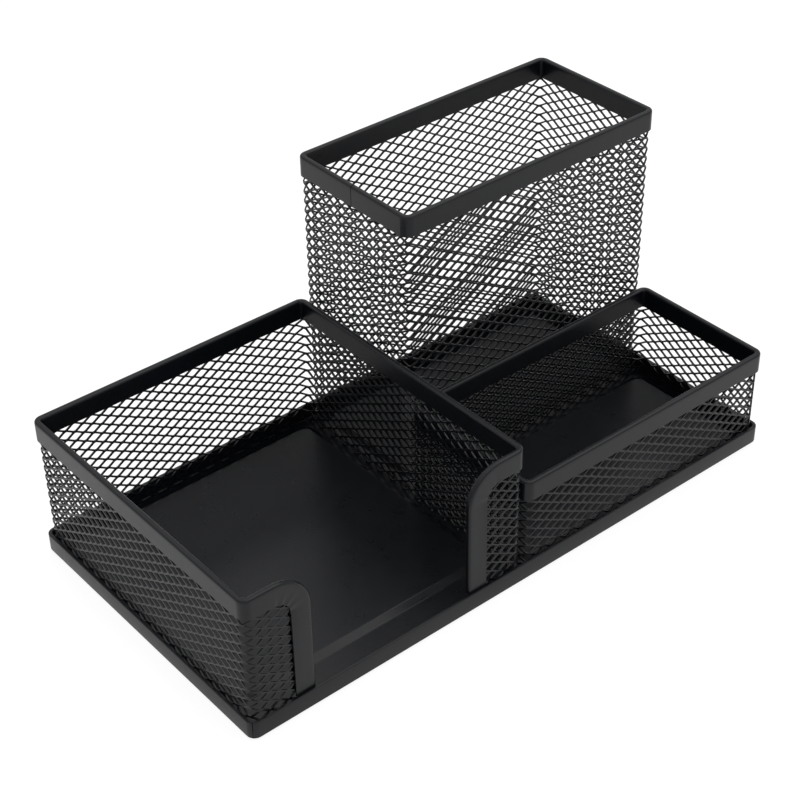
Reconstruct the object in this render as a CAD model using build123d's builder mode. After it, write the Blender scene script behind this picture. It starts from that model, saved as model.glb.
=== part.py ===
"""Mesh desk organizer: a memo tray, a pen cup and a clip tray on one sheet-steel base pan.

Millimetres, +Z up, front towards -Y. The origin is on the table under the middle of the base.
Each compartment is one sheet of expanded steel bent round into walls, bound along its free edge
by a folded steel channel, and stood inside the upturned rim of the base pan.
"""
from math import atan2, degrees, hypot
import os

from build123d import *

os.makedirs("parts", exist_ok=True)

# Base pan with an upturned, hemmed rim
base_width = 205.0
base_depth = 107.0
base_corner = 2.8
base_sheet = 0.6
base_rim_height = 6.0
base_hem = 1.2
base_hem_edge = 0.35

# Raised panel stamped into the floor of each compartment
panel_rise = 1.3
panel_run = 2.5
panel_corner = 5.0
panel_gutter = 4.0
memo_front_strip = 9.7

# Square stick-on foot pads in the hollow under the raised panels
pad_side = 9.0
pad_proud = 0.6
pad_inset = 11.0

# Compartments: sizes outside their rims, heights above the table
memo_width = 99.8
pen_depth = 52.0
memo_height = 49.5
pen_height = 100.5
clip_height = 35.5
loop_gap = 0.5

# Front of the memo tray: a return at each side of an opening with arched upper corners
memo_return = 21.9
opening_arch = 12.0

# Expanded steel sheet, with openings about three times as large as the real 6.1 x 3.4 diamonds
mesh_thickness = 0.9
mesh_corner = 2.0
mesh_clearance = 0.3
cell_width = 18.7
cell_height = 10.3
strand_width = 1.3
field_margin = 1.0

# Edge binding: a channel folded over the free edge of the mesh
band_height = 6.8
band_sheet = 0.5
band_slack = 0.05
band_edge = 0.55

# Butt joint of a closed channel: on the left of its compartment, this far from the front
joint_setback = 25.4
joint_gap = 0.25

# Levels and widths that follow from the sizes above
pan_bottom = pad_proud
pan_floor = pan_bottom + base_sheet
pan_top = pan_bottom + base_rim_height
slot_width = mesh_thickness + 2 * band_slack
band_width = slot_width + 2 * band_sheet
mesh_face = (band_width - mesh_thickness) / 2
mesh_outer_corner = mesh_corner + mesh_thickness / 2
band_outer_corner = mesh_corner + band_width / 2
band_inset = base_hem + mesh_clearance - mesh_face

# Edges of the compartments in plan, at the outside of their rims
left_edge = -base_width / 2 + band_inset
right_edge = base_width / 2 - band_inset
front_edge = -base_depth / 2 + band_inset
back_edge = base_depth / 2 - band_inset
memo_right = left_edge + memo_width
bay_left = memo_right + loop_gap
pen_front = back_edge - pen_depth
clip_back = pen_front - loop_gap

# Each compartment as (left, front, right, back)
memo_box = (left_edge, front_edge, memo_right, back_edge)
pen_box = (bay_left, pen_front, right_edge, back_edge)
clip_box = (bay_left, front_edge, right_edge, clip_back)


def box_centre(box):
    """Middle of a box in plan."""
    return ((box[0] + box[2]) / 2, (box[1] + box[3]) / 2)


def box_size(box, inset=0.0):
    """Width and depth of a box, drawn in by inset on every side."""
    return (box[2] - box[0] - 2 * inset, box[3] - box[1] - 2 * inset)


def panel_box(box, front_gutter):
    """Foot of the raised panel in a compartment, a gutter away from the inside of its walls."""
    side = mesh_face + mesh_thickness + panel_gutter
    front = mesh_face + mesh_thickness + front_gutter
    return (box[0] + side, box[1] + front, box[2] - side, box[3] - side)


def plan_at(box, level):
    """Horizontal plane with its origin over the middle of a box."""
    return Plane.XY.offset(level) * Pos(*box_centre(box))


def facing_back(x, y, z):
    """Upright plane across the depth, whose positive side is towards the back."""
    return Plane(origin=(x, y, z), x_dir=(-1, 0, 0), z_dir=(0, 1, 0))


def facing_right(x, y, z):
    """Upright plane across the width, whose positive side is to the right."""
    return Plane(origin=(x, y, z), x_dir=(0, 1, 0), z_dir=(1, 0, 0))


def ring(box, inset, thickness, corner):
    """Sketch of a closed wall in plan: its outside drawn in by inset, with the given outer corner."""
    with BuildSketch() as outline:
        RectangleRounded(*box_size(box, inset), corner)
        RectangleRounded(*box_size(box, inset + thickness), corner - thickness, mode=Mode.SUBTRACT)
    return outline.sketch


def diamond_field(width, height):
    """Sketch of staggered diamond openings: whole cells fill the field, half cells close its ends."""
    columns = max(1, round(width / cell_width))
    rows = max(1, round(height / cell_height))
    pitch_x = width / columns
    pitch_y = height / rows
    open_share = 1 - strand_width * hypot(pitch_x, pitch_y) / (pitch_x * pitch_y)
    half_x = open_share * pitch_x / 2
    half_y = open_share * pitch_y / 2
    diamond = [(half_x, 0), (0, half_y), (-half_x, 0), (0, -half_y)]
    with BuildSketch() as field:
        with GridLocations(pitch_x, pitch_y, columns, rows):
            Polygon(*diamond)
        if columns > 1:
            with GridLocations(pitch_x, pitch_y, columns - 1, rows + 1):
                Polygon(*diamond)
            Rectangle(width, height, mode=Mode.INTERSECT)
    return field.sketch


# Base pan: the floor and its rim, then a stamped panel under each compartment
memo_panel = panel_box(memo_box, memo_front_strip)
pen_panel = panel_box(pen_box, panel_gutter)
clip_panel = panel_box(clip_box, panel_gutter)
panel_slope = degrees(atan2(panel_run, panel_rise))

with BuildPart() as base_pan:
    with BuildSketch(Plane.XY.offset(pan_bottom)):
        RectangleRounded(base_width, base_depth, base_corner)
    extrude(amount=base_rim_height)
    with BuildSketch(Plane.XY.offset(pan_floor)):
        RectangleRounded(base_width - 2 * base_hem, base_depth - 2 * base_hem, base_corner - base_hem)
    extrude(amount=base_rim_height, mode=Mode.SUBTRACT)
    chamfer(base_pan.edges().group_by(Axis.Z)[-1], length=base_hem_edge)
    for panel in (memo_panel, pen_panel, clip_panel):
        with BuildSketch(plan_at(panel, pan_floor)):
            RectangleRounded(*box_size(panel), panel_corner)
        extrude(amount=panel_rise, taper=panel_slope)
        with BuildSketch(plan_at(panel, pan_bottom)):
            RectangleRounded(*box_size(panel), panel_corner)
        extrude(amount=panel_rise, taper=panel_slope, mode=Mode.SUBTRACT)
base_pan.part.label = "base_pan"
export_step(base_pan.part, "parts/base_pan.step")

# Foot pads: one near each corner of the base, stuck up inside the hollow of the nearest panel
pad_places = {
    "foot_pad_front_left": (memo_panel[0] + pad_inset, memo_panel[1] + pad_inset),
    "foot_pad_back_left": (memo_panel[0] + pad_inset, memo_panel[3] - pad_inset),
    "foot_pad_front_right": (clip_panel[2] - pad_inset, clip_panel[1] + pad_inset),
    "foot_pad_back_right": (pen_panel[2] - pad_inset, pen_panel[3] - pad_inset),
}
for name, place in pad_places.items():
    with BuildPart() as foot_pad:
        with BuildSketch(Plane.XY * Pos(*place)):
            Rectangle(pad_side, pad_side)
        extrude(amount=pad_proud + panel_rise)
    foot_pad.part.label = name
    export_step(foot_pad.part, f"parts/{name}.step")

# Pen cup and clip tray: closed mesh walls, each with a channel folded over its top edge
for name, box, top in (("pen_cup", pen_box, pen_height), ("clip_tray", clip_box, clip_height)):
    middle_x, middle_y = box_centre(box)
    outer_x, outer_y = box_size(box)
    flat_x, flat_y = box_size(box, mesh_face + mesh_outer_corner)
    field_height = top - band_height - pan_top - 2 * field_margin
    field_middle = pan_top + field_margin + field_height / 2

    with BuildPart() as mesh:
        with BuildSketch(plan_at(box, pan_floor)):
            add(ring(box, mesh_face, mesh_thickness, mesh_outer_corner))
        extrude(amount=top - band_sheet - pan_floor)
        with BuildSketch(facing_back(middle_x, box[1], field_middle)):
            add(diamond_field(flat_x, field_height))
        extrude(amount=outer_y, mode=Mode.SUBTRACT)
        with BuildSketch(facing_right(box[0], middle_y, field_middle)):
            add(diamond_field(flat_y, field_height))
        extrude(amount=outer_x, mode=Mode.SUBTRACT)
    mesh.part.label = f"{name}_mesh"
    export_step(mesh.part, f"parts/{name}_mesh.step")

    with BuildPart() as rim:
        with BuildSketch(plan_at(box, top - band_height)):
            add(ring(box, 0, band_width, band_outer_corner))
        extrude(amount=band_height)
        chamfer(rim.edges().group_by(Axis.Z)[-1], length=band_edge)
        with BuildSketch(plan_at(box, top - band_height)):
            add(ring(box, band_sheet, slot_width, band_outer_corner - band_sheet))
        extrude(amount=band_height - band_sheet, mode=Mode.SUBTRACT)
        with BuildSketch(Plane.XY.offset(top - band_height) * Pos(box[0], box[1] + joint_setback)):
            Rectangle(3 * band_width, joint_gap)
        extrude(amount=band_height, mode=Mode.SUBTRACT)
    rim.part.label = f"{name}_rim"
    export_step(rim.part, f"parts/{name}_rim.step")

# Memo tray: the middle line of its wall in plan, and the posts of its arched front opening
memo_middle_x, memo_middle_y = box_centre(memo_box)
memo_left_line = memo_box[0] + band_width / 2
memo_right_line = memo_box[2] - band_width / 2
memo_front_line = memo_box[1] + band_width / 2
memo_back_line = memo_box[3] - band_width / 2
opening_left = memo_box[0] + memo_return
opening_right = memo_box[2] - memo_return
arch_middle = opening_right + opening_arch - memo_middle_x
mesh_arch = opening_arch - band_sheet

# Fields of openings on the memo tray's side walls, its back wall and its two front returns
memo_flat_x, memo_flat_y = box_size(memo_box, mesh_face + mesh_outer_corner)
memo_field_height = memo_height - band_height - pan_top - 2 * field_margin
memo_field_middle = pan_top + field_margin + memo_field_height / 2
return_width = memo_return - mesh_face - mesh_outer_corner - band_height - field_margin
return_middle = (memo_flat_x - return_width) / 2

with BuildPart() as memo_mesh:
    with BuildSketch(Plane.XY.offset(pan_floor)):
        with BuildLine():
            FilletPolyline(
                (opening_left - band_sheet, memo_front_line),
                (memo_left_line, memo_front_line),
                (memo_left_line, memo_back_line),
                (memo_right_line, memo_back_line),
                (memo_right_line, memo_front_line),
                (opening_right + band_sheet, memo_front_line),
                radius=mesh_corner,
            )
        trace(line_width=mesh_thickness)
    extrude(amount=memo_height - band_sheet - pan_floor)
    with BuildSketch(facing_right(memo_box[0], memo_middle_y, memo_field_middle)):
        add(diamond_field(memo_flat_y, memo_field_height))
    extrude(amount=memo_width, mode=Mode.SUBTRACT)
    with BuildSketch(facing_back(memo_middle_x, memo_back_line - mesh_thickness, memo_field_middle)):
        add(diamond_field(memo_flat_x, memo_field_height))
    extrude(amount=2 * mesh_thickness, mode=Mode.SUBTRACT)
    with BuildSketch(facing_back(memo_middle_x, memo_box[1], memo_field_middle)):
        with Locations((-return_middle, 0), (return_middle, 0)):
            add(diamond_field(return_width, memo_field_height))
    extrude(amount=band_width, mode=Mode.SUBTRACT)
    with BuildSketch(facing_back(memo_middle_x, memo_box[1], memo_height - opening_arch)):
        Rectangle(2 * arch_middle, mesh_arch, align=(Align.CENTER, Align.MIN))
        with Locations((-arch_middle, 0), (arch_middle, 0)):
            Circle(mesh_arch, mode=Mode.SUBTRACT)
    extrude(amount=band_width, mode=Mode.SUBTRACT)
memo_mesh.part.label = "memo_tray_mesh"
export_step(memo_mesh.part, "parts/memo_tray_mesh.step")

# Memo tray binding: one channel up the left post, over its arch, round the tray and down the right post
with BuildPart() as memo_rim:
    with BuildLine():
        FilletPolyline(
            (opening_left, memo_front_line, pan_top),
            (opening_left, memo_front_line, memo_height),
            (memo_left_line, memo_front_line, memo_height),
            (memo_left_line, memo_back_line, memo_height),
            (memo_right_line, memo_back_line, memo_height),
            (memo_right_line, memo_front_line, memo_height),
            (opening_right, memo_front_line, memo_height),
            (opening_right, memo_front_line, pan_top),
            radius=[opening_arch, mesh_corner, mesh_corner, mesh_corner, mesh_corner, opening_arch],
        )
    with BuildSketch(Plane.XY.offset(pan_top) * Pos(opening_left, memo_front_line)) as channel:
        Rectangle(band_height, band_width, align=(Align.MAX, Align.CENTER))
        chamfer(channel.vertices().group_by(Axis.X)[-1], length=band_edge)
        with Locations((-band_sheet, 0)):
            Rectangle(band_height, slot_width, align=(Align.MAX, Align.CENTER), mode=Mode.SUBTRACT)
    sweep()
memo_rim.part.label = "memo_tray_rim"
export_step(memo_rim.part, "parts/memo_tray_rim.step")
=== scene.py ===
"""Looks of the mesh desk organizer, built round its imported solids.

Metres, +Z up, front towards -Y, as in the frame. Places come from the boxes of the solids, and the
sizes that a box can't give are named below.
"""
from math import cos, pi, radians, sin

import bmesh
import bpy
from mathutils import Matrix, Vector
from mathutils.geometry import tessellate_polygon


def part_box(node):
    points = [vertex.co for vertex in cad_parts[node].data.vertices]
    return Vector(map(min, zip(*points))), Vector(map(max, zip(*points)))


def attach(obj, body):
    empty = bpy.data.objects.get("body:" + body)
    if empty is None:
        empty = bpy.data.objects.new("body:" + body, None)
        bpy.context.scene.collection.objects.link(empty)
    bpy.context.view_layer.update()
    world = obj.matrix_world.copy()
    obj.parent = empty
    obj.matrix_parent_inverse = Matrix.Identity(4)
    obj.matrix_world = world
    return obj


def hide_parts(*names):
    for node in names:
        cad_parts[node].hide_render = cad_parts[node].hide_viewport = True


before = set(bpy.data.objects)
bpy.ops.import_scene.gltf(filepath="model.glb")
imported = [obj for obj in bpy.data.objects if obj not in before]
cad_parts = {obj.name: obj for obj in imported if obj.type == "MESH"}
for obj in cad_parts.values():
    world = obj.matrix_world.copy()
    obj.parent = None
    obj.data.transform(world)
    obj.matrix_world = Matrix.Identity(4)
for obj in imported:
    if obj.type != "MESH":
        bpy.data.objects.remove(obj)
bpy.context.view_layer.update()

MM = 0.001
UP = Vector((0, 0, 1))
FRONT = Vector((0, -1, 0))

# Walls and their folded channel
WALL_CORNER = 2.0 * MM
BAND_WIDTH = 2.0 * MM
BAND_SHEET = 0.5 * MM
BAND_ROUND = 0.75 * MM
MEMO_RETURN = 21.9 * MM
OPENING_ARCH = 12.0 * MM
JOINT_SETBACK = 25.4 * MM
JOINT_GAP = 0.25 * MM
PLEAT_DEPTH = 0.22 * MM
PLEAT_SPACING = 3
CORNER_STEPS = 12
LEG_SHARES = (1.0, 0.85, 0.7, 0.55, 0.4, 0.25)
NEARLY_UPRIGHT = 0.001

# Expanded steel: a diamond cell, the blunted tips of its opening, and the sheet it is cut from
CELL_WIDTH = 6.1 * MM
CELL_HEIGHT = 3.36 * MM
HOLE_HALF_WIDTH = 2.3 * MM
HOLE_HALF_HEIGHT = 1.33 * MM
TIP_HALF_RISE = 0.06 * MM
TIP_HALF_RUN = 0.28 * MM
STRAND_THICK = 0.48 * MM
SHEET_OUTSIDE = 0.45 * MM
ROW_ABOVE_LIP = 1.0 * MM
EDGE_CLEARANCE = 0.3 * MM

# How far the openings are shifted along each closed wall
MESH_SHIFT = {"pen_cup": 3.05 * MM, "clip_tray": 0.0}

# Base pan
PAN_CORNER = 2.8 * MM
PAN_BEND = 0.35 * MM
PAN_HEM = 1.2 * MM
HEM_ROUND = 0.3 * MM
PAN_SHEET = 0.6 * MM
PAN_FILLET = 0.4 * MM
PANEL_RISE = 1.3 * MM
PANEL_RUN = 2.5 * MM
PANEL_CORNER = 5.0 * MM
PANEL_INSET = 2.6 * MM
MEMO_FRONT_INSET = 11.15 * MM
FLAT_EDGE = 0.4 * MM
BEND_SHARE = 0.15
BEND_STEPS = 3
SLIT_DEPTH = 0.3 * MM
SLIT_ANGLE = 45
SLIT_HALF_ANGLE = 2.5

# Camera of the photograph, taken as 800 x 800
CAMERA_TARGET = Vector((-2.3, 3.5, 35.6)) * MM
CAMERA_DISTANCE = 553.9 * MM
CAMERA_AZIMUTH = -39.26
CAMERA_ELEVATION = 36.21
CAMERA_ROLL = -1.08
FOCAL_PIXELS = 1804.2
IMAGE_PIXELS = 800
SENSOR_WIDTH = 36.0
CLIP_START = 0.01

# Coat and foam: two tones, two levels of roughness, and the scale and depth of the grain
FINISH_IOR = 1.36
COAT_TONES = ((0.002, 0.0026, 0.004), (0.0026, 0.0033, 0.005))
COAT_ROUGHNESS = (0.27, 0.32)
SHEET_GRAIN = (1800, 0.03 * MM)
MESH_GRAIN = (2600, 0.02 * MM)
FOAM_TONES = ((0.018, 0.018, 0.018), (0.03, 0.03, 0.03))
FOAM_ROUGHNESS = (0.85, 0.95)
FOAM_GRAIN = (3000, 0.08 * MM)

# Noise as (scale, detail), and the part of its range that is spread over the tones and the gloss
TONE_NOISE = (60, 3)
TONE_SPAN = (0.35, 0.65)
GLOSS_NOISE = (250, 4)
GLOSS_SPAN = (0.3, 0.7)
GRAIN_DETAIL = 2
GRAIN_STRENGTH = 0.2

# Light: the tones of the sky as (height from 0 straight down to 1 straight up, level), floor and lamp
SKY_TONES = ((0.5, 0.8), (0.6, 0.7), (0.79, 0.7), (0.86, 1.2), (0.93, 1.2), (1.0, 0.3))
FLOOR_ALBEDO = 0.8
FLOOR_GLOW = 0.75
FLOOR_WHITE = 1.15
FLOOR_REFLECTED = 0.5
FLOOR_SIZE = 6.0
FLOOR_DROP = 0.1 * MM
LAMP_PLACE = (0.4, -0.15, 1.3)
LAMP_SIDE = 1.6
LAMP_POWER = 7

# Edges that turn by more than this angle are shaded sharp, and rounds are drawn in these steps
SHARP_ANGLE = 35.0
QUARTER_TURN = [radians(15 * step) for step in range(7)]


def piece(name, vertices, faces, material, node, foot=None):
    """Mesh object that rides on the body and stands for one node of the frame, cut flat at a foot."""
    mesh = bpy.data.meshes.new(name)
    mesh.from_pydata(vertices, [], faces)
    shell = bmesh.new()
    shell.from_mesh(mesh)
    if foot is not None:
        whole = shell.verts[:] + shell.edges[:] + shell.faces[:]
        cut = bmesh.ops.bisect_plane(shell, geom=whole, plane_co=UP * foot, plane_no=UP, clear_inner=True)
        rims = [part for part in cut["geom_cut"] if isinstance(part, bmesh.types.BMEdge)]
        bmesh.ops.holes_fill(shell, edges=rims)
    bmesh.ops.recalc_face_normals(shell, faces=shell.faces)
    shell.to_mesh(mesh)
    shell.free()
    mesh.shade_smooth()
    mesh.set_sharp_from_angle(angle=radians(SHARP_ANGLE))
    mesh.materials.append(material)
    thing = bpy.data.objects.new(name, mesh)
    bpy.context.scene.collection.objects.link(thing)
    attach(thing, "root")
    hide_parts(node)


def filleted(points, radii):
    """Stations (place, heading) along straight runs joined by quarter-turn arcs."""
    points = [Vector(p) for p in points]
    heading = (points[1] - points[0]).normalized()
    stations = [(points[0], heading)]
    for corner, after, radius in zip(points[1:], points[2:], radii):
        leaving = (after - corner).normalized()
        centre = corner + (leaving - heading) * radius
        for step in range(CORNER_STEPS + 1):
            turn = step / CORNER_STEPS * pi / 2
            place = centre + (heading * sin(turn) - leaving * cos(turn)) * radius
            stations.append((place, heading * cos(turn) + leaving * sin(turn)))
        heading = leaving
    stations.append((points[-1], heading))
    return stations


def outward(heading):
    """Outside of a wall that runs clockwise round its compartment, seen from above."""
    side = UP.cross(heading)
    return side.normalized() if side.length > NEARLY_UPRIGHT else FRONT


def wall_line(node):
    """Corners of the middle line of a compartment's wall in plan, read from its rim."""
    low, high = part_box(node)
    half = BAND_WIDTH / 2
    return low.x + half, low.y + half, high.x - half, high.y - half


def loop_points(node, level, gap):
    """Plan points of a closed wall from the joint on its left clockwise back to there, with a gap."""
    left, front, right, back = wall_line(node)
    joint = front - BAND_WIDTH / 2 + JOINT_SETBACK
    return [(left, joint + gap / 2, level), (left, back, level), (right, back, level),
            (right, front, level), (left, front, level), (left, joint - gap / 2, level)]


def channel_profile(height):
    """Section of the folded channel as (depth from its free edge, offset outwards)."""
    half = BAND_WIDTH / 2
    slot = half - BAND_SHEET
    over = [(BAND_ROUND * (1 - sin(a)), half - BAND_ROUND * (1 - cos(a))) for a in QUARTER_TURN]
    outer = [(height * share, half) for share in LEG_SHARES] + over
    inner = [(depth, -offset) for depth, offset in reversed(outer)]
    return outer + inner + [(height, -slot), (BAND_SHEET, -slot), (BAND_SHEET, slot), (height, slot)]


def swept(profile, stations, dent=None):
    """Vertices and faces of a section carried along stations, with dent(station, depth) pressed in."""
    vertices = []
    for index, (place, heading) in enumerate(stations):
        side = outward(heading)
        down = side.cross(heading)
        for depth, offset in profile:
            pressed = dent(index, depth) if dent else 0.0
            vertices.append(place + down * depth + side * (offset - pressed))
    count = len(profile)
    last = (len(stations) - 1) * count
    faces = [tuple(range(count)), tuple(range(last, last + count))]
    for row in range(0, last, count):
        for k in range(count):
            m = (k + 1) % count
            faces.append((row + k, row + m, row + count + m, row + count + k))
    return vertices, faces


class WallLine:
    """Middle line of a wall in plan, measured by the length along it."""

    def __init__(self, stations, closed):
        self.stations = stations
        self.closed = closed
        self.marks = [0.0]
        for (here, _), (there, _) in zip(stations, stations[1:]):
            self.marks.append(self.marks[-1] + (there - here).length)
        self.length = self.marks[-1]

    def at(self, run):
        """Place and outward direction at a length along the line."""
        run = run % self.length if self.closed else min(max(run, 0.0), self.length)
        low, high = 0, len(self.marks) - 1
        while high - low > 1:
            middle = (low + high) // 2
            low, high = (middle, high) if self.marks[middle] <= run else (low, middle)
        span = self.marks[high] - self.marks[low]
        share = (run - self.marks[low]) / span if span else 0.0
        place = self.stations[low][0].lerp(self.stations[high][0], share)
        heading = self.stations[low][1].lerp(self.stations[high][1], share)
        return place, outward(heading)


# Outline of one opening as (along the wall, upwards)
(TIP_RIGHT_LOW, TIP_RIGHT_HIGH, CROWN_RIGHT, CROWN_LEFT,
 TIP_LEFT_HIGH, TIP_LEFT_LOW, FOOT_LEFT, FOOT_RIGHT) = range(8)
HOLE_OUTLINE = (
    (HOLE_HALF_WIDTH, -TIP_HALF_RISE), (HOLE_HALF_WIDTH, TIP_HALF_RISE),
    (TIP_HALF_RUN, HOLE_HALF_HEIGHT), (-TIP_HALF_RUN, HOLE_HALF_HEIGHT),
    (-HOLE_HALF_WIDTH, TIP_HALF_RISE), (-HOLE_HALF_WIDTH, -TIP_HALF_RISE),
    (-TIP_HALF_RUN, -HOLE_HALF_HEIGHT), (TIP_HALF_RUN, -HOLE_HALF_HEIGHT),
)

# A bond needs the near tip of the opening at its far end, and six of its eight corners
BOND_FAR_TIP = 3
BOND_CORNERS = 6


def expanded_sheet(line, bottom, top, lip, keep, shift=0.0):
    """Vertices and faces of expanded steel wrapped along a wall line.

    Openings stand in staggered rows, set out from the lower lip of the channel. Between diagonal
    neighbours runs a strand, and between openings of one row is a bond.
    """
    half_pitch = line.length / round(line.length / CELL_WIDTH) / 2
    halves = round(line.length / half_pitch)
    row_rise = CELL_HEIGHT / 2
    start = lip + ROW_ABOVE_LIP
    lowest = -int((start - bottom + CELL_HEIGHT) / row_rise)
    highest = int((top - EDGE_CLEARANCE - HOLE_HALF_HEIGHT - start) / row_rise)

    holes = {}
    middles = []
    for row in range(lowest, highest + 1):
        level = start + row * row_rise
        for column in range(row % 2, halves + (0 if line.closed else 1), 2):
            run = column * half_pitch + shift
            if not keep(run, level):
                continue
            holes[column, row] = len(middles)
            for along, rise in HOLE_OUTLINE:
                place, side = line.at(run + along)
                middles.append((place + UP * (level + rise - place.z), side))

    def corner(column, row, which):
        key = (column % halves if line.closed else column, row)
        return holes[key] + which if key in holes else None

    sheet = []
    for column, row in holes:
        strand_right = [(column, row, TIP_RIGHT_HIGH), (column + 1, row + 1, FOOT_LEFT),
                        (column + 1, row + 1, TIP_LEFT_LOW), (column, row, CROWN_RIGHT)]
        strand_left = [(column, row, TIP_LEFT_HIGH), (column, row, CROWN_LEFT),
                       (column - 1, row + 1, TIP_RIGHT_LOW), (column - 1, row + 1, FOOT_RIGHT)]
        bond = [(column, row, TIP_RIGHT_LOW), (column + 1, row - 1, CROWN_LEFT),
                (column + 1, row - 1, CROWN_RIGHT), (column + 2, row, TIP_LEFT_LOW),
                (column + 2, row, TIP_LEFT_HIGH), (column + 1, row + 1, FOOT_RIGHT),
                (column + 1, row + 1, FOOT_LEFT), (column, row, TIP_RIGHT_HIGH)]
        for outline in (strand_right, strand_left):
            face = [corner(*spot) for spot in outline]
            if None not in face:
                sheet.append(face)
        face = [corner(*spot) for spot in bond]
        found = [spot for spot in face if spot is not None]
        if face[BOND_FAR_TIP] is not None and len(found) >= BOND_CORNERS:
            sheet.append(found)
    return thickened(middles, sheet)


def thickened(middles, sheet):
    """Closed solid at the outside of a wall: both skins of a sheet, and a strip along each free edge."""
    edges = {(a, b) for face in sheet for a, b in zip(face, face[1:] + face[:1])}
    used = sorted({spot for face in sheet for spot in face})
    number = {spot: 2 * k for k, spot in enumerate(used)}
    vertices = []
    for spot in used:
        place, side = middles[spot]
        vertices += [place + side * SHEET_OUTSIDE, place + side * (SHEET_OUTSIDE - STRAND_THICK)]
    faces = [tuple(number[spot] for spot in face) for face in sheet]
    faces += [tuple(number[spot] + 1 for spot in reversed(face)) for face in sheet]
    for a, b in edges:
        if (b, a) not in edges:
            faces.append((number[b], number[a], number[a] + 1, number[b] + 1))
    return vertices, faces


def rounded_rectangle(box, inset, corner, level, slit=0.0):
    """Anticlockwise outline of a box in plan, drawn in, with a slit pressed into each corner."""
    angles = [0, 15, 30, SLIT_ANGLE - SLIT_HALF_ANGLE, SLIT_ANGLE, SLIT_ANGLE + SLIT_HALF_ANGLE, 60, 75, 90]
    left, front, right, back = box
    in_by = inset + corner
    centres = ((right - in_by, back - in_by), (left + in_by, back - in_by),
               (left + in_by, front + in_by), (right - in_by, front + in_by))
    outline = []
    for quarter, (x, y) in enumerate(centres):
        for angle in angles:
            turn = radians(90 * quarter + angle)
            reach = corner - (slit if angle == SLIT_ANGLE else 0.0)
            outline.append(Vector((x + reach * cos(turn), y + reach * sin(turn), level)))
    return outline


class Shell:
    """Vertices and faces of a solid built from outlines with the same number of points."""

    def __init__(self):
        self.vertices = []
        self.faces = []

    def outline(self, points):
        first = len(self.vertices)
        self.vertices += points
        return list(range(first, len(self.vertices)))

    def strip(self, one, other):
        for k in range(len(one)):
            m = (k + 1) % len(one)
            self.faces.append((one[k], one[m], other[m], other[k]))

    def strips(self, outlines):
        """Joins outlines in turn, and returns the first and the last."""
        rings = [self.outline(points) for points in outlines]
        for one, other in zip(rings, rings[1:]):
            self.strip(one, other)
        return rings[0], rings[-1]

    def plate(self, ring, holes):
        """Flat face inside one outline and outside the others."""
        numbers = ring + [k for hole in holes for k in hole]
        loops = [[self.vertices[k] for k in loop] for loop in [ring] + holes]
        self.faces += [tuple(numbers[k] for k in triangle) for triangle in tessellate_polygon(loops)]


def make_pan(material):
    """Base pan: a bent and hemmed rim round a floor with a raised panel in each compartment."""
    low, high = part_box("base_pan")
    box = (low.x, low.y, high.x, high.y)
    floor = low.z + PAN_SHEET
    section = [(PAN_BEND + FLAT_EDGE, low.z, 0.0)]
    section += [(PAN_BEND * (1 - sin(a)), low.z + PAN_BEND * (1 - cos(a)), 0.0) for a in QUARTER_TURN]
    over = [(HEM_ROUND * (1 - cos(a)), high.z - HEM_ROUND * (1 - sin(a))) for a in QUARTER_TURN]
    section += [(inset, level, SLIT_DEPTH) for inset, level in over]
    section += [(PAN_HEM - inset, level, SLIT_DEPTH) for inset, level in reversed(over)]
    section += [(PAN_HEM + PAN_FILLET * (1 - cos(a)), floor + PAN_FILLET * (1 - sin(a)), 0.0)
                for a in QUARTER_TURN]
    section += [(PAN_HEM + PAN_FILLET + FLAT_EDGE, floor, 0.0)]
    shell = Shell()
    under, inside = shell.strips(
        rounded_rectangle(box, inset, max(PAN_CORNER - inset, PAN_FILLET), level, slit)
        for inset, level, slit in section)

    bend = [(PANEL_RUN * share, share ** 2 / (2 * BEND_SHARE * (1 - BEND_SHARE)))
            for share in (BEND_SHARE * step / BEND_STEPS for step in range(BEND_STEPS + 1))]
    slope = [(-FLAT_EDGE, 0.0)] + bend
    slope += [(PANEL_RUN - inset, 1 - up) for inset, up in reversed(slope)]

    top_holes = []
    under_holes = []
    for rim, front_inset in (("memo_tray_rim", MEMO_FRONT_INSET), ("pen_cup_rim", PANEL_INSET),
                             ("clip_tray_rim", PANEL_INSET)):
        rim_low, rim_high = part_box(rim)
        panel = (rim_low.x + PANEL_INSET, rim_low.y + front_inset,
                 rim_high.x - PANEL_INSET, rim_high.y - PANEL_INSET)
        for level, holes in ((floor, top_holes), (low.z, under_holes)):
            foot, crown = shell.strips(
                rounded_rectangle(panel, inset, PANEL_CORNER - inset, level + PANEL_RISE * up)
                for inset, up in slope)
            shell.faces.append(tuple(crown))
            holes.append(foot)
    shell.plate(inside, top_holes)
    shell.plate(under, under_holes)
    piece("organizer_base", shell.vertices, shell.faces, material, "base_pan")


def make_closed_wall(name, sheet_coat, mesh_coat):
    """Pen cup or clip tray: expanded steel all round, and the channel on its upper edge."""
    rim_low, rim_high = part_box(f"{name}_rim")
    mesh_low, mesh_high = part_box(f"{name}_mesh")
    radii = [WALL_CORNER] * 4
    stations = filleted(loop_points(f"{name}_rim", rim_high.z, JOINT_GAP), radii)
    vertices, faces = swept(channel_profile(rim_high.z - rim_low.z), stations)
    piece(f"{name}_binding", vertices, faces, sheet_coat, f"{name}_rim")

    line = WallLine(filleted(loop_points(f"{name}_rim", 0.0, 0.0), radii), True)
    vertices, faces = expanded_sheet(line, mesh_low.z, mesh_high.z, rim_low.z, lambda run, level: True,
                                     MESH_SHIFT[name])
    piece(f"{name}_steel", vertices, faces, mesh_coat, f"{name}_mesh", mesh_low.z)


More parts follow.
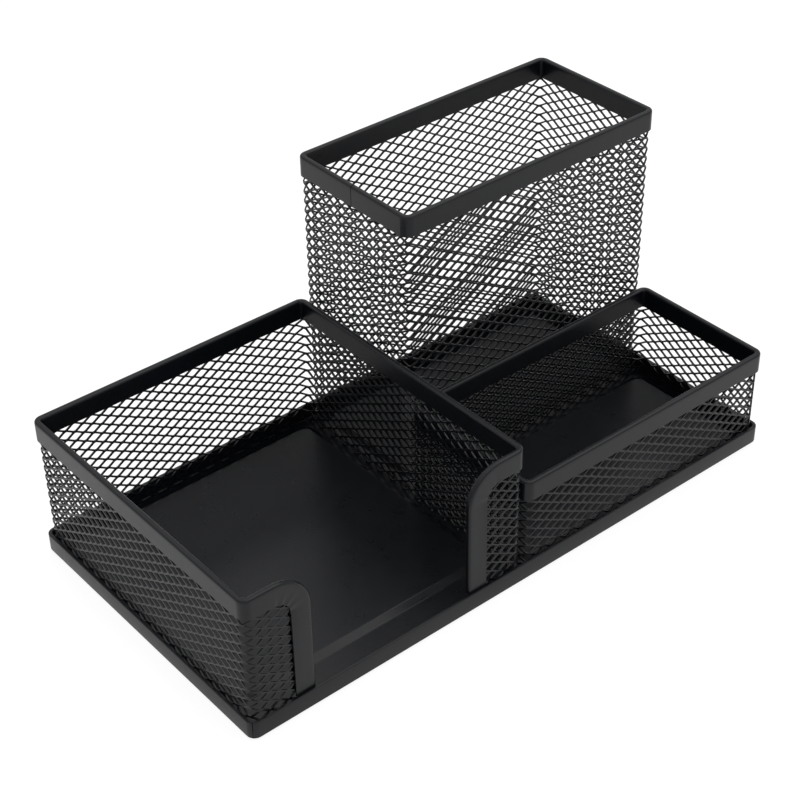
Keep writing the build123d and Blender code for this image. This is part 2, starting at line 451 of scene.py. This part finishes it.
def make_memo_tray(sheet_coat, mesh_coat):
    """Memo tray: an open wall whose channel runs up, over and down the front opening."""
    left, front, right, back = wall_line("memo_tray_rim")
    rim_low, rim_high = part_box("memo_tray_rim")
    mesh_low, mesh_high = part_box("memo_tray_mesh")
    foot, top = rim_low.z, rim_high.z
    opening_left = rim_low.x + MEMO_RETURN
    opening_right = rim_high.x - MEMO_RETURN
    edge = [(opening_left, front, foot), (opening_left, front, top), (left, front, top),
            (left, back, top), (right, back, top),
            (right, front, top), (opening_right, front, top), (opening_right, front, foot)]
    stations = filleted(edge, [OPENING_ARCH] + [WALL_CORNER] * 4 + [OPENING_ARCH])
    cup_low, cup_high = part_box("pen_cup_rim")
    band_height = cup_high.z - cup_low.z

    def pleats(station, depth):
        """Small creases where the channel is squeezed round an arch, deeper towards its inner lip."""
        step = station - 1 if station <= CORNER_STEPS + 1 else len(stations) - 2 - station
        if not 0 < step < CORNER_STEPS:
            return 0.0
        return PLEAT_DEPTH * (step % PLEAT_SPACING == 1) * (depth / band_height) ** 2

    vertices, faces = swept(channel_profile(band_height), stations, pleats)
    piece("memo_tray_binding", vertices, faces, sheet_coat, "memo_tray_rim")

    plan = filleted([(x, y, 0.0) for x, y, z in edge[1:-1]], [WALL_CORNER] * 4)
    line = WallLine(plan, False)
    arch_level = top - OPENING_ARCH

    def inside_edge(run, level):
        """Openings stay behind the channel of the front opening."""
        reach = min(run, line.length - run)
        if level <= arch_level or reach >= OPENING_ARCH:
            return reach > BAND_SHEET + HOLE_HALF_WIDTH
        away = Vector((OPENING_ARCH - reach, level - arch_level)).length
        return away < OPENING_ARCH - BAND_SHEET - HOLE_HALF_WIDTH

    vertices, faces = expanded_sheet(line, mesh_low.z, mesh_high.z, top - band_height, inside_edge)
    piece("memo_tray_steel", vertices, faces, mesh_coat, "memo_tray_mesh", mesh_low.z)


def link(tree, source, target):
    tree.links.new(source, target)


def grained_material(name, tones, roughness, grain):
    """Powder coat or foam: a fine grain, with slow changes of tone and of gloss."""
    grain_scale, grain_depth = grain
    material = bpy.data.materials.new(name)
    material.use_nodes = True
    tree = material.node_tree
    shader = tree.nodes["Principled BSDF"]
    shader.inputs["IOR"].default_value = FINISH_IOR
    place = tree.nodes.new("ShaderNodeTexCoord").outputs["Object"]

    def noise(scale, detail):
        node = tree.nodes.new("ShaderNodeTexNoise")
        node.inputs["Scale"].default_value = scale
        node.inputs["Detail"].default_value = detail
        link(tree, place, node.inputs["Vector"])
        return node.outputs["Fac"]

    ramp = tree.nodes.new("ShaderNodeValToRGB")
    for stop, where, tone in zip(ramp.color_ramp.elements, TONE_SPAN, tones):
        stop.position = where
        stop.color = (*tone, 1)
    link(tree, noise(*TONE_NOISE), ramp.inputs["Fac"])
    link(tree, ramp.outputs["Color"], shader.inputs["Base Color"])

    gloss = tree.nodes.new("ShaderNodeMapRange")
    gloss.inputs["From Min"].default_value, gloss.inputs["From Max"].default_value = GLOSS_SPAN
    gloss.inputs["To Min"].default_value, gloss.inputs["To Max"].default_value = roughness
    link(tree, noise(*GLOSS_NOISE), gloss.inputs["Value"])
    link(tree, gloss.outputs["Result"], shader.inputs["Roughness"])

    bump = tree.nodes.new("ShaderNodeBump")
    bump.inputs["Strength"].default_value = GRAIN_STRENGTH
    bump.inputs["Distance"].default_value = grain_depth
    link(tree, noise(grain_scale, GRAIN_DETAIL), bump.inputs["Height"])
    link(tree, bump.outputs["Normal"], shader.inputs["Normal"])
    return material


def seen_white(tree):
    """One where the camera or a see-through surface looks, less in a reflection, else nought."""
    path = tree.nodes.new("ShaderNodeLightPath")
    mirrored = tree.nodes.new("ShaderNodeMath")
    mirrored.operation = "MULTIPLY"
    mirrored.inputs[1].default_value = FLOOR_REFLECTED
    first = tree.nodes.new("ShaderNodeMath")
    second = tree.nodes.new("ShaderNodeMath")
    first.operation = second.operation = "MAXIMUM"
    link(tree, path.outputs["Is Glossy Ray"], mirrored.inputs[0])
    link(tree, path.outputs["Is Camera Ray"], first.inputs[0])
    link(tree, mirrored.outputs[0], first.inputs[1])
    link(tree, first.outputs[0], second.inputs[0])
    link(tree, path.outputs["Is Transmission Ray"], second.inputs[1])
    return second.outputs[0]


def make_floor():
    """White floor, mostly self-lit to the eye, so that the shadow on it stays faint."""
    material = bpy.data.materials.new("white_floor")
    material.use_nodes = True
    material.cycles.emission_sampling = "NONE"
    tree = material.node_tree
    tree.nodes.remove(tree.nodes["Principled BSDF"])
    matte = tree.nodes.new("ShaderNodeBsdfDiffuse")
    matte.inputs["Color"].default_value = (FLOOR_ALBEDO, FLOOR_ALBEDO, FLOOR_ALBEDO, 1)
    glow = tree.nodes.new("ShaderNodeEmission")
    glow.inputs["Strength"].default_value = FLOOR_WHITE
    share = tree.nodes.new("ShaderNodeMath")
    share.operation = "MULTIPLY"
    share.inputs[1].default_value = FLOOR_GLOW
    mix = tree.nodes.new("ShaderNodeMixShader")
    link(tree, seen_white(tree), share.inputs[0])
    link(tree, share.outputs[0], mix.inputs["Fac"])
    link(tree, matte.outputs["BSDF"], mix.inputs[1])
    link(tree, glow.outputs["Emission"], mix.inputs[2])
    link(tree, mix.outputs["Shader"], tree.nodes["Material Output"].inputs["Surface"])

    half = FLOOR_SIZE / 2
    mesh = bpy.data.meshes.new("floor")
    corners = [(-half, -half, 0), (half, -half, 0), (half, half, 0), (-half, half, 0)]
    mesh.from_pydata(corners, [], [(0, 1, 2, 3)])
    mesh.materials.append(material)
    floor = bpy.data.objects.new("floor", mesh)
    floor.location.z = -FLOOR_DROP
    bpy.context.scene.collection.objects.link(floor)


def make_world():
    """Studio surroundings: grey, with a bright ring high up and a dark middle overhead."""
    world = bpy.data.worlds.new("studio")
    world.use_nodes = True
    tree = world.node_tree
    place = tree.nodes.new("ShaderNodeTexCoord")
    parts = tree.nodes.new("ShaderNodeSeparateXYZ")
    height = tree.nodes.new("ShaderNodeMapRange")
    height.inputs["From Min"].default_value = -1.0
    ramp = tree.nodes.new("ShaderNodeValToRGB")
    stops = ramp.color_ramp.elements
    while len(stops) < len(SKY_TONES):
        stops.new(0.5)
    for stop, (where, tone) in zip(stops, SKY_TONES):
        stop.position = where
        stop.color = (tone, tone, tone, 1)
    link(tree, place.outputs["Generated"], parts.inputs["Vector"])
    link(tree, parts.outputs["Z"], height.inputs["Value"])
    link(tree, height.outputs["Result"], ramp.inputs["Fac"])
    link(tree, ramp.outputs["Color"], tree.nodes["Background"].inputs["Color"])
    bpy.context.scene.world = world


def add_lamp():
    """Level square soft box that looks straight down."""
    lamp = bpy.data.lights.new("overhead", "AREA")
    lamp.shape = "SQUARE"
    lamp.size = LAMP_SIDE
    lamp.energy = LAMP_POWER
    thing = bpy.data.objects.new("overhead", lamp)
    thing.location = LAMP_PLACE
    bpy.context.scene.collection.objects.link(thing)


def add_camera():
    """Camera at the photograph's angle, with its small tilt to one side."""
    azimuth, elevation, roll = (radians(a) for a in (CAMERA_AZIMUTH, CAMERA_ELEVATION, CAMERA_ROLL))
    backward = Vector((sin(azimuth) * cos(elevation), -cos(azimuth) * cos(elevation), sin(elevation)))
    level_right = Vector((cos(azimuth), sin(azimuth), 0))
    level_up = backward.cross(level_right)
    right = level_right * cos(roll) + level_up * sin(roll)
    above = level_up * cos(roll) - level_right * sin(roll)
    lens = bpy.data.cameras.new("camera")
    lens.sensor_width = SENSOR_WIDTH
    lens.lens = FOCAL_PIXELS / IMAGE_PIXELS * SENSOR_WIDTH
    lens.clip_start = CLIP_START
    thing = bpy.data.objects.new("camera", lens)
    turn = Matrix((right, above, backward)).transposed().to_4x4()
    thing.matrix_world = Matrix.Translation(CAMERA_TARGET + backward * CAMERA_DISTANCE) @ turn
    bpy.context.scene.collection.objects.link(thing)
    bpy.context.scene.camera = thing


sheet_coat = grained_material("powder_coat", COAT_TONES, COAT_ROUGHNESS, SHEET_GRAIN)
mesh_coat = grained_material("powder_coat_mesh", COAT_TONES, COAT_ROUGHNESS, MESH_GRAIN)
pad_foam = grained_material("pad_foam", FOAM_TONES, FOAM_ROUGHNESS, FOAM_GRAIN)

make_pan(sheet_coat)
make_closed_wall("pen_cup", sheet_coat, mesh_coat)
make_closed_wall("clip_tray", sheet_coat, mesh_coat)
make_memo_tray(sheet_coat, mesh_coat)
for name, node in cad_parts.items():
    if name.startswith("foot_pad"):
        node.data.materials.clear()
        node.data.materials.append(pad_foam)

make_floor()
make_world()
add_lamp()
add_camera()

bpy.context.scene.view_settings.view_transform = "Standard"
